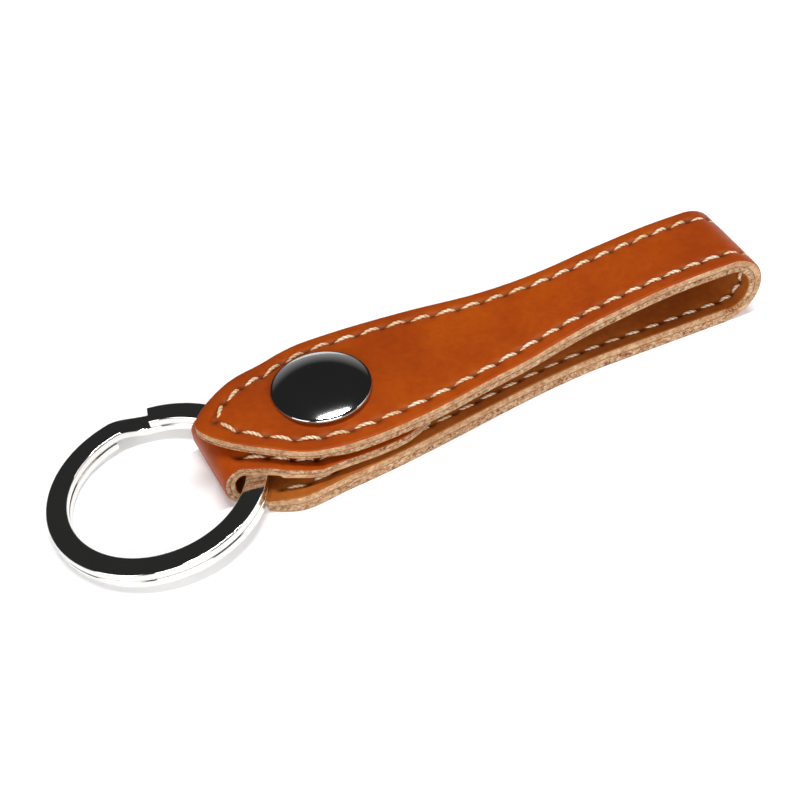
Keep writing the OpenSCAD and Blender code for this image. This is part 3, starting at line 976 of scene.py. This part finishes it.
def bump(node, link, height, distance, strength, base=None):
    b = node("ShaderNodeBump", Strength=strength, Distance=distance)
    link(height, b.inputs["Height"])
    if base is not None:
        link(base, b.inputs["Normal"])
    return b.outputs["Normal"]


def between(node, link, fac, limits):
    """A factor from 0 to 1, spread over the range between the limits."""
    r = node("ShaderNodeMapRange")
    r.inputs["To Min"].default_value, r.inputs["To Max"].default_value = limits
    link(fac, r.inputs["Value"])
    return r.outputs["Result"]


def leather(name, dark, mid, light):
    """Smooth finished leather: soft colour drift, fine pores, painted shade in the seam's groove and
    holes, and darker edges, partly painted shade.
    """
    mat, node, link, shader, coords = material(name)
    obj = coords.outputs["Object"]
    drift = math_node(node, link, "MULTIPLY", noise(node, link, obj, 90, 3, 0.5), 0.65)
    fine = math_node(node, link, "MULTIPLY", noise(node, link, obj, 900, 5, 0.6), 0.35)
    shade = math_node(node, link, "ADD", drift, fine)
    colour = ramp(node, link, shade, [(0.36, dark), (0.5, mid), (0.66, light)])
    # faces darken towards their edges: edge darkening, and painted shade on the far side of the tongue
    # and loop
    edge = math_node(node, link, "MULTIPLY", attribute(node, "edge"), 0.55)
    colour = blend_colour(node, link, edge, colour, tuple(c * 0.5 for c in dark))
    # painted shade: the seam's groove and holes are darkened towards the hole colour
    hole = math_node(node, link, "MULTIPLY", attribute(node, "hole"), 0.85)
    colour = blend_colour(node, link, hole, colour, HOLE_SHADE_COLOUR)
    link(colour, shader.inputs["Base Color"])
    link(between(node, link, noise(node, link, obj, 260, 4), LEATHER_ROUGH), shader.inputs["Roughness"])
    pores = node("ShaderNodeTexVoronoi", Scale=2600.0, feature="SMOOTH_F1")
    link(obj, pores.inputs["Vector"])
    wrinkle = bump(node, link, noise(node, link, obj, 320, 3, 0.5), 0.00006, 0.5)
    link(bump(node, link, pores.outputs["Distance"], 0.000016, 0.6, wrinkle), shader.inputs["Normal"])
    shader.inputs["Specular IOR Level"].default_value = 0.3
    shader.inputs["Specular Tint"].default_value = (1.0, 0.7, 0.35, 1)  # the finish reflects warm
    return mat


def raw_edge(name, lift, coarse_scale, dark, spread):
    """The cut edge: compressed fibres, light where fresh and brown where soiled."""
    mat, node, link, shader, coords = material(name)
    along = stretched(node, link, coords, (0.7, 1.0, 1.3))
    fibre = noise(node, link, along, 2600, 6, 0.8, 0.3)
    clump = noise(node, link, coords.outputs["Object"], coarse_scale, 4, 0.65)
    fine = math_node(node, link, "MULTIPLY", fibre, 0.6)
    rough = math_node(node, link, "MULTIPLY", clump, 0.4)
    shade = math_node(node, link, "ADD", fine, rough)
    # lift and dark set how light a copy is; the darker copy paints shade on the lower ply
    stops = [(0.5 + (at - 0.5) * spread, tuple(v * lift for v in colour))
             for at, colour in [(0.40, dark), *FIBRE_STOPS]]
    colour = ramp(node, link, shade, stops)
    link(colour, shader.inputs["Base Color"])
    shader.inputs["Roughness"].default_value = 0.9
    shader.inputs["Specular IOR Level"].default_value = 0.2
    coarse = bump(node, link, clump, 0.00025, 0.8)
    link(bump(node, link, fibre, 0.00012, 0.9, coarse), shader.inputs["Normal"])
    return mat


def thread(name):
    """Waxed linen thread: a tint for each stitch, fine fibres, and painted shade between the strands and
    where each stitch dips into its holes.
    """
    mat, node, link, shader, coords = material(name)
    tint = ramp(node, link, attribute(node, "tint"), THREAD_TINTS)
    fibre = noise(node, link, coords.outputs["Object"], 3200, 3, 0.7)
    dark = ramp(node, link, fibre, [(0.35, (0.62, 0.5, 0.36)), (0.6, (1, 1, 1))])
    colour = blend_colour(node, link, 1.0, tint, dark, "MULTIPLY")
    # painted shade between the strands and at the stitch's sunk ends
    strand_shade = math_node(node, link, "POWER", attribute(node, "strand_shade"), 1.6)
    deep = math_node(node, link, "MULTIPLY", strand_shade, 0.85)
    link(blend_colour(node, link, deep, colour, (0.26, 0.11, 0.03)), shader.inputs["Base Color"])
    shader.inputs["Roughness"].default_value = 0.4
    shader.inputs["Specular IOR Level"].default_value = 0.6
    shader.inputs["Sheen Weight"].default_value = 0.3
    link(bump(node, link, fibre, 0.00005, 0.8), shader.inputs["Normal"])
    return mat


def plated(name, colour, rough, scratch):
    """Polished nickel plate with faint smears and hairlines."""
    mat, node, link, shader, coords = material(name)
    shader.inputs["Metallic"].default_value = 1.0
    smear = noise(node, link, coords.outputs["Object"], 180, 4, 0.6)
    tone = ramp(node, link, smear, [(0.3, tuple(c * 0.92 for c in colour)), (0.7, colour)])
    link(tone, shader.inputs["Base Color"])
    link(between(node, link, smear, rough), shader.inputs["Roughness"])
    hair = noise(node, link, stretched(node, link, coords, (1, 9, 3)), 500, 3, 0.6)
    link(bump(node, link, hair, scratch, 0.35), shader.inputs["Normal"])
    return mat


outer_leather = leather(
    "outer_leather", (0.29, 0.037, 0.001), (0.34, 0.047, 0.0012), (0.395, 0.065, 0.0016))
lining_leather = leather(
    "lining_leather", (0.28, 0.066, 0.008), (0.36, 0.096, 0.013), (0.44, 0.130, 0.022))
# the lining's cut edge has coarser fibres and is a darker copy, painted shade on the lower ply of each
# run and the inner ply of the loop
leather_mats = {
    "outer": [outer_leather, raw_edge("cut_edge_smooth", 0.78, 900, (0.32, 0.16, 0.08), 1.7)],
    "lining": [lining_leather, raw_edge("cut_edge_coarse_shaded", 0.66, 1500, (0.14, 0.03, 0.01), 1.0)],
}
thread_mat = thread("seam_thread")
metal_mats = {
    "cap": plated("cap_plate", (0.56, 0.55, 0.55), (0.06, 0.10), 0.000001),
    "metal": plated("snap_plate", (0.72, 0.71, 0.68), (0.12, 0.22), 0.000004),
    "spring": plated("spring_wire", (0.62, 0.60, 0.56), (0.2, 0.3), 0.000004),
}
ring_mat = plated("ring_plate", (0.80, 0.79, 0.77), (0.05, 0.09), 0.0000008)


# ---------------------------------------------------------------- assembly

upper_outer, upper_lining = make_upper(leather_mats)
loop_outer, loop_lining = make_loop(leather_mats)
lower_outer, lower_lining = make_lower(leather_mats)
seams = make_seams(thread_mat)
cap, socket, spring, stud, post = make_snap(metal_mats)
ring = make_ring(ring_mat)

rides = [
    (upper_outer, "upper_strap", "upper_outer_leather", "outer_leather"),
    (upper_lining, "upper_strap", "upper_lining_leather", "lining_leather"),
    (lower_outer, "lower_strap", "lower_outer_leather", "outer_leather"),
    (lower_lining, "lower_strap", "lower_lining_leather", "lining_leather"),
    (seams["upper_outer_stitches"], "upper_strap", "upper_outer_thread", "thread"),
    (seams["upper_lining_stitches"], "upper_strap", "upper_lining_thread", "thread"),
    (seams["lower_outer_stitches"], "lower_strap", "lower_outer_thread", "thread"),
    (seams["lower_lining_stitches"], "lower_strap", "lower_lining_thread", "thread"),
    (seams["tab_stitches"], "lower_strap", "tab_thread", "thread"),
    (cap, "upper_strap", "snap_cap", "snap_plating"),
    (socket, "upper_strap", "snap_socket", "snap_plating"),
    (spring, "upper_strap", "socket_spring", "spring_wire"),
    (stud, "lower_strap", "snap_stud", "snap_plating"),
    (post, "lower_strap", "snap_post", "snap_plating"),
    (ring, "split_ring", "key_ring", "ring_plating"),
]
for piece, body, node_name, slot_name in rides:
    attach(piece, body)
    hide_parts(node_name)
bends = [
    (loop_outer, "bend_outer_leather", "outer_leather"),
    (loop_lining, "bend_lining_leather", "lining_leather"),
    (seams["loop_outer_stitches"], "bend_outer_thread", "thread"),
    (seams["loop_lining_stitches"], "bend_lining_thread", "thread"),
]
for piece, node_name, slot_name in bends:
    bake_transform(piece)
    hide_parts(node_name)


# ---------------------------------------------------------------- floor, light, camera

def make_floor():
    """White paper that glows a little, so that it stays white up to the picture's edge."""
    bm = bmesh.new()
    bmesh.ops.create_grid(bm, x_segments=4, y_segments=4, size=1.5)
    mesh = bpy.data.meshes.new("floor")
    bm.to_mesh(mesh)
    bm.free()
    floor = bpy.data.objects.new("floor", mesh)
    floor.location = (0.02, 0, -0.00003)
    bpy.context.scene.collection.objects.link(floor)
    mat, node, link, shader, coords = material("floor_paper")
    mottle = noise(node, link, coords.outputs["Object"], 30, 3)
    paper = ramp(node, link, mottle, [(0.3, (0.93, 0.93, 0.935)), (0.7, (0.95, 0.95, 0.95))])
    link(paper, shader.inputs["Base Color"])
    shader.inputs["Roughness"].default_value = 0.9
    shader.inputs["Specular IOR Level"].default_value = 0.1
    shader.inputs["Emission Color"].default_value = (1, 1, 1, 1)
    shader.inputs["Emission Strength"].default_value = 0.16
    mesh.materials.append(mat)


def area_light(name, location, target, size, power):
    light = bpy.data.lights.new(name, "AREA")
    light.shape = "RECTANGLE"
    light.size, light.size_y = size
    light.energy = power
    obj = bpy.data.objects.new(name, light)
    obj.location = location
    obj.rotation_euler = (Vector(target) - Vector(location)).to_track_quat("-Z", "Y").to_euler()
    bpy.context.scene.collection.objects.link(obj)


def make_sky():
    """A grey surround, light at the horizon and dark overhead, which is what the metal reflects."""
    world = bpy.data.worlds.new("studio")
    world.use_nodes = True
    sky = world.node_tree
    coords = sky.nodes.new("ShaderNodeTexCoord")
    split = sky.nodes.new("ShaderNodeSeparateXYZ")
    fade = sky.nodes.new("ShaderNodeValToRGB")
    for element, (height, grey) in zip(fade.color_ramp.elements, SKY_STOPS):
        element.position = height
        element.color = (grey, grey, grey, 1)
    sky.links.new(coords.outputs["Generated"], split.inputs["Vector"])
    sky.links.new(split.outputs["Z"], fade.inputs["Fac"])
    sky.links.new(fade.outputs["Color"], sky.nodes["Background"].inputs["Color"])
    sky.nodes["Background"].inputs["Strength"].default_value = 1.0
    bpy.context.scene.world = world


def make_camera():
    """A 63.7 mm lens on a 36 mm sensor, from the near side, 44 degrees up and rolled a little."""
    azimuth, elevation, roll = math.radians(18.5), math.radians(43.95), math.radians(-6.75)
    distance = 211.9 * MM
    target = Vector((11.87, 0.88, 0)) * MM
    level = math.cos(elevation)
    forward = Vector((math.sin(azimuth) * level, math.cos(azimuth) * level, -math.sin(elevation)))
    right = Vector((math.cos(azimuth), -math.sin(azimuth), 0))
    up = right.cross(forward)
    cam_x = right * math.cos(roll) + up * math.sin(roll)
    cam_y = -right * math.sin(roll) + up * math.cos(roll)
    data = bpy.data.cameras.new("camera")
    data.sensor_width = 36
    data.lens = 63.702
    data.clip_start, data.clip_end = 0.01, 10
    cam = bpy.data.objects.new("camera", data)
    m = Matrix((cam_x, cam_y, -forward)).transposed().to_4x4()
    m.translation = target - forward * distance
    cam.matrix_world = m
    bpy.context.scene.collection.objects.link(cam)
    bpy.context.scene.camera = cam


SKY_STOPS = ((0.02, 0.42), (0.42, 0.028))
LIGHTS = (  # name, location, target, size in metres, power in watts; the key is a narrow strip overhead
    ("key", (0.15, -0.035, 1.1), (0.15, -0.035, 0), (0.6, 0.045), 9.3),
    ("left", (-0.85, -0.35, 0.45), (0.0, 0, 0), (0.6, 0.5), 3.0),
    ("right", (0.85, -0.3, 0.45), (0.02, 0, 0), (0.6, 0.5), 2.4),
    ("front", (-0.15, -0.95, 0.42), (0.02, 0, 0), (0.9, 0.4), 6.0),
)
make_floor()
for light in LIGHTS:
    area_light(*light)
make_sky()
bpy.context.scene.view_settings.view_transform = "Standard"
make_camera()
